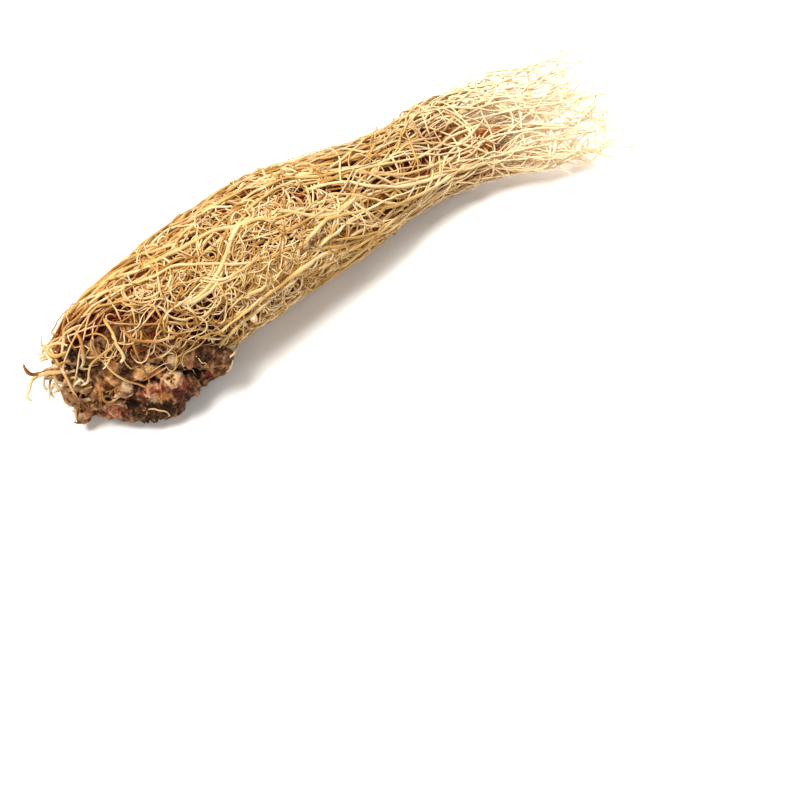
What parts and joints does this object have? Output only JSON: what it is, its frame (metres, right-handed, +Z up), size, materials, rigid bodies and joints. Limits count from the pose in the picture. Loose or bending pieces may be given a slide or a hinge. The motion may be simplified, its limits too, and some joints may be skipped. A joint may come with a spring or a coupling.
{
  "type": "asarum root",
  "caption": "Dried asarum root lying on its side: a knobbly dark rootstock and a long matted sheaf of wiry straw-coloured roots that frays out at the tips.",
  "frame": {"origin": "bottom centre of the bounding box, on the surface that the root lies on", "axes": "+X along the sheaf from the rootstock to the root tips, +Y to the side away from the bare rootstock, +Z up"},
  "size_m": [0.1905, 0.0514, 0.0317],
  "materials": {
    "dried_root": "dry, finely wrinkled, straw to golden tan, with no gloss but a faint waxy sheen",
    "bark": "rough grey-brown bark with reddish patches, soil in the creases and pale scars"
  },
  "bodies": {
    "root": {"roots": "dried_root", "rootstock": "bark"}
  },
  "joints": []
}
